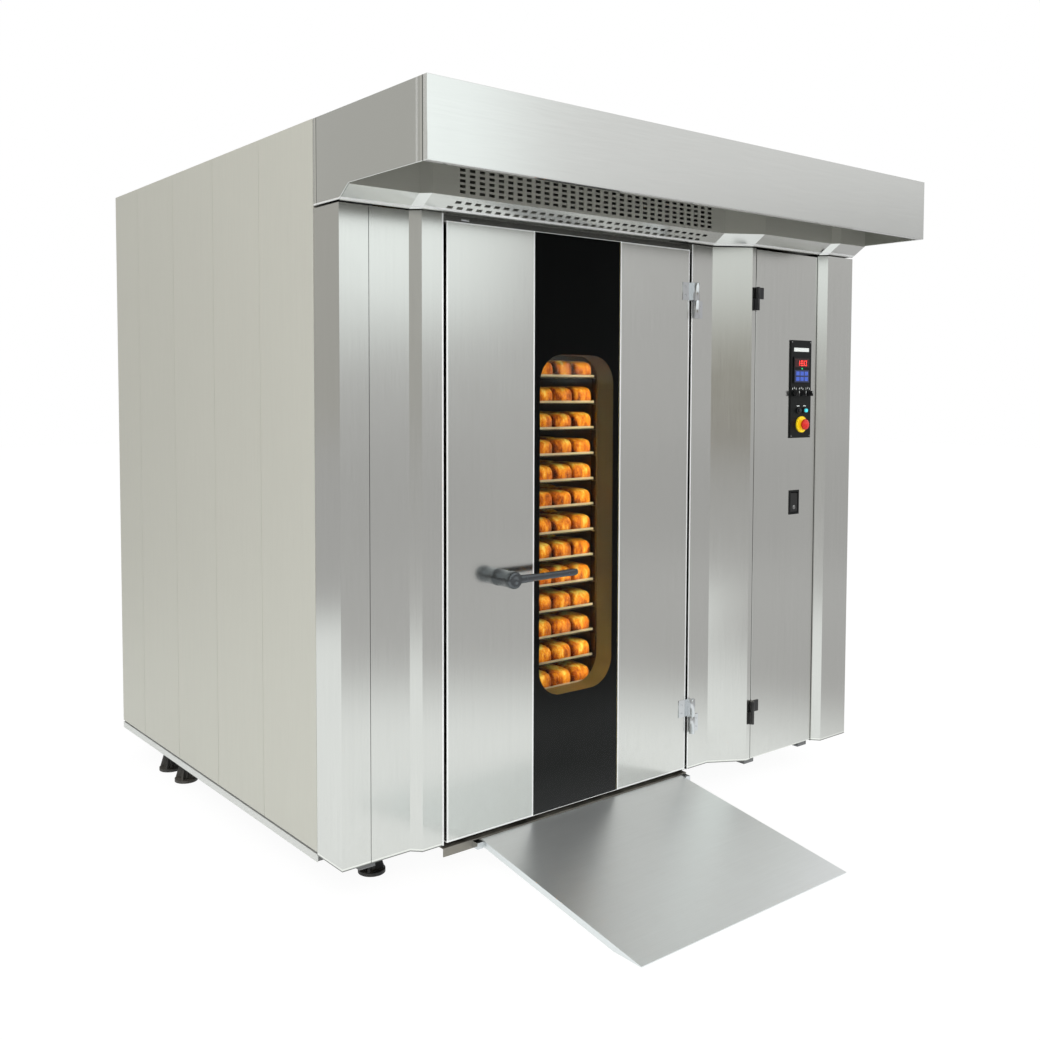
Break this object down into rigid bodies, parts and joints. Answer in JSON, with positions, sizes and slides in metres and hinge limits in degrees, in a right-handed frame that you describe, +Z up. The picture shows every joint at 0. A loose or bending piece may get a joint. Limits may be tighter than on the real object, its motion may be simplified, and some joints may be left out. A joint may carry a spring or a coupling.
{
  "type": "rotating rack oven",
  "caption": "Floor-standing insulated rack oven with a glazed swing door, a trolley of trays turning inside, an overhanging extraction hood, a side control door and a loading ramp.",
  "frame": {"origin": "on the floor, under the turning axis of the rack: the middle of the central foot's underside", "axes": "+Z up, the oven's front faces -Y, the control door is on the +X side"},
  "size_m": [2.49, 2.823, 2.54],
  "materials": {
    "frame_steel": "satin grey paint",
    "black_cast": "matte black paint",
    "rail_steel": "satin",
    "wall_steel": "brushed, warm light grey",
    "roof_steel": "mill finish",
    "front_steel": "brushed upright",
    "hood_steel": "brushed along",
    "baffle_steel": "satin, in the hood's shade",
    "liner_steel": "heat tinted",
    "mineral_wool": "fibrous",
    "hot_steel": "scaled by heat",
    "burner_paint": "painted cast housing",
    "fan_paint": "satin paint",
    "steam_iron": "raw cast",
    "lamp_glass": "warm frosted",
    "bearing_steel": "painted",
    "drive_paint": "satin paint",
    "cabinet_steel": "light grey powder coat",
    "switch_plastic": "light grey",
    "hinge_chrome": "polished",
    "hinge_black": "black powder coat",
    "machined_steel": "machined",
    "platform_steel": "worn",
    "rack_metal": "satin",
    "tray_metal": "seasoned sheet",
    "bread_crust": "baked crust; density of bread",
    "castor_rubber": "heat resistant tread",
    "door_steel": "brushed upright",
    "door_glass": "tinted",
    "border_black": "black print on the glass",
    "reveal_steel": "olive heat tint",
    "seal_rubber": "silicone",
    "lever_steel": "satin",
    "ctrl_steel": "brushed upright",
    "control_black": "black plate",
    "stop_red": "red",
    "button_black": "dark",
    "button_cyan": "lit cyan",
    "knob_black": "black with a white pointer",
    "latch_black": "satin black",
    "ramp_steel": "satin"
  },
  "bodies": {
    "casing": {"base_frame": "frame_steel", "levelling_feet": "black_cast", "base_rails": "rail_steel", "side_wall_panels": "wall_steel", "rear_wall_panels": "wall_steel", "roof_deck": "roof_steel", "front_panels": "front_steel", "door_frame": "front_steel", "hood_shell": "hood_steel", "hood_baffle": "baffle_steel", "hood_cove": "hood_steel", "chamber_liner": "liner_steel", "chamber_floor": "platform_steel", "insulation_slabs": "mineral_wool", "air_panels": "liner_steel", "heat_exchanger": "hot_steel", "burner": "burner_paint", "fan_housing": "fan_paint", "exhaust_duct": "roof_steel", "steam_generator": "steam_iron", "chamber_lamps": "lamp_glass", "rack_bearings": "bearing_steel", "gearmotor": "drive_paint", "control_cabinet": "cabinet_steel", "switchgear": "switch_plastic", "door_hinge_pins": "hinge_chrome", "control_hinge_pins": "hinge_black", "ramp_rod": "hinge_chrome"},
    "rotor": {"drive_shaft": "machined_steel", "drive_gear": "machined_steel", "turntable": "platform_steel", "rack_frame": "rack_metal", "trays": "tray_metal", "loaves": "bread_crust"},
    "wheel_1": {"castor_wheel_1": "castor_rubber"},
    "wheel_2": {"castor_wheel_2": "castor_rubber"},
    "wheel_3": {"castor_wheel_3": "castor_rubber"},
    "wheel_4": {"castor_wheel_4": "castor_rubber"},
    "pinion": {"drive_pinion": "machined_steel"},
    "fan": {"fan_wheel": "machined_steel"},
    "door": {"door_skin": "door_steel", "door_core": "mineral_wool", "door_glass": "door_glass", "glass_border": "border_black", "window_reveal": "reveal_steel", "door_gasket": "seal_rubber", "door_hinge_leaves": "hinge_chrome"},
    "lever": {"door_lever": "lever_steel"},
    "bolt": {"latch_bolt": "machined_steel"},
    "control_door": {"control_door": "ctrl_steel", "control_plate": "control_black", "control_hinge_leaves": "hinge_black"},
    "stop": {"stop_button": "stop_red"},
    "start": {"start_button": "button_black"},
    "lamp": {"lamp_button": "button_cyan"},
    "knob_1": {"selector_1": "knob_black"},
    "knob_2": {"selector_2": "knob_black"},
    "knob_3": {"selector_3": "knob_black"},
    "paddle": {"latch_paddle": "latch_black"},
    "ramp": {"ramp_plate": "ramp_steel"}
  },
  "joints": [
    {"name": "door_swing", "type": "hinge", "parent": "casing", "child": "door", "pos_m": [0.614, -0.855, 1.2], "axis": [0, 0, 1], "range_deg": [0, 110]},
    {"name": "lever_turn", "type": "hinge", "parent": "door", "child": "lever", "pos_m": [-0.37, -0.89, 1.029], "axis": [0, 1, 0], "range_deg": [0, 90]},
    {"name": "bolt_slide", "type": "slide", "parent": "door", "child": "bolt", "axis": [-1, 0, 0], "range_m": [0, 0.03]},
    {"name": "control_door_swing", "type": "hinge", "parent": "casing", "child": "control_door", "pos_m": [0.893, -0.936, 1.2], "axis": [0, 0, -1], "range_deg": [0, 90]},
    {"name": "latch_paddle_turn", "type": "hinge", "parent": "control_door", "child": "paddle", "pos_m": [1.163, -0.921, 1.239], "axis": [-1, 0, 0], "range_deg": [0, 50], "stiffness_Nm_per_rad": 0.15, "springref_deg": -17.19},
    {"name": "stop_push", "type": "slide", "parent": "control_door", "child": "stop", "axis": [0, 1, 0], "range_m": [0, 0.006], "stiffness_N_per_m": 1500, "springref_m": -0.002},
    {"name": "start_push", "type": "slide", "parent": "control_door", "child": "start", "axis": [0, 1, 0], "range_m": [0, 0.004], "stiffness_N_per_m": 800, "springref_m": -0.002},
    {"name": "lamp_push", "type": "slide", "parent": "control_door", "child": "lamp", "axis": [0, 1, 0], "range_m": [0, 0.004], "stiffness_N_per_m": 800, "springref_m": -0.002},
    {"name": "selector_1_turn", "type": "hinge", "parent": "control_door", "child": "knob_1", "pos_m": [1.1485, -0.94, 1.665], "axis": [0, 1, 0], "range_deg": [-45, 45]},
    {"name": "selector_2_turn", "type": "hinge", "parent": "control_door", "child": "knob_2", "pos_m": [1.1945, -0.94, 1.665], "axis": [0, 1, 0], "range_deg": [-45, 45]},
    {"name": "selector_3_turn", "type": "hinge", "parent": "control_door", "child": "knob_3", "pos_m": [1.2405, -0.94, 1.665], "axis": [0, 1, 0], "range_deg": [-45, 45]},
    {"name": "rack_spin", "type": "hinge", "parent": "casing", "child": "rotor", "pos_m": [0, 0, 1], "axis": [0, 0, 1], "continuous": true},
    {"name": "pinion_spin", "type": "hinge", "parent": "casing", "child": "pinion", "pos_m": [0, 0.18, 2.36], "axis": [0, 0, 1], "continuous": true},
    {"name": "fan_spin", "type": "hinge", "parent": "casing", "child": "fan", "pos_m": [0, 0.9, 1.8], "axis": [0, 1, 0], "continuous": true},
    {"name": "wheel_1_spin", "type": "hinge", "parent": "rotor", "child": "wheel_1", "pos_m": [-0.478, -0.368, 0.1793], "axis": [1, 0, 0], "continuous": true},
    {"name": "wheel_2_spin", "type": "hinge", "parent": "rotor", "child": "wheel_2", "pos_m": [0.478, -0.368, 0.1793], "axis": [1, 0, 0], "continuous": true},
    {"name": "wheel_3_spin", "type": "hinge", "parent": "rotor", "child": "wheel_3", "pos_m": [-0.478, 0.368, 0.1793], "axis": [1, 0, 0], "continuous": true},
    {"name": "wheel_4_spin", "type": "hinge", "parent": "rotor", "child": "wheel_4", "pos_m": [0.478, 0.368, 0.1793], "axis": [1, 0, 0], "continuous": true},
    {"name": "ramp_tilt", "type": "hinge", "parent": "casing", "child": "ramp", "pos_m": [0.053, -0.862, 0.114], "axis": [-1, 0, 0], "range_deg": [0, 98]}
  ],
  "couplings": [
    {"joint": "pinion_spin", "follows": "rack_spin", "ratio": -3},
    {"joint": "bolt_slide", "follows": "lever_turn", "m_per_rad": 0.019}
  ]
}
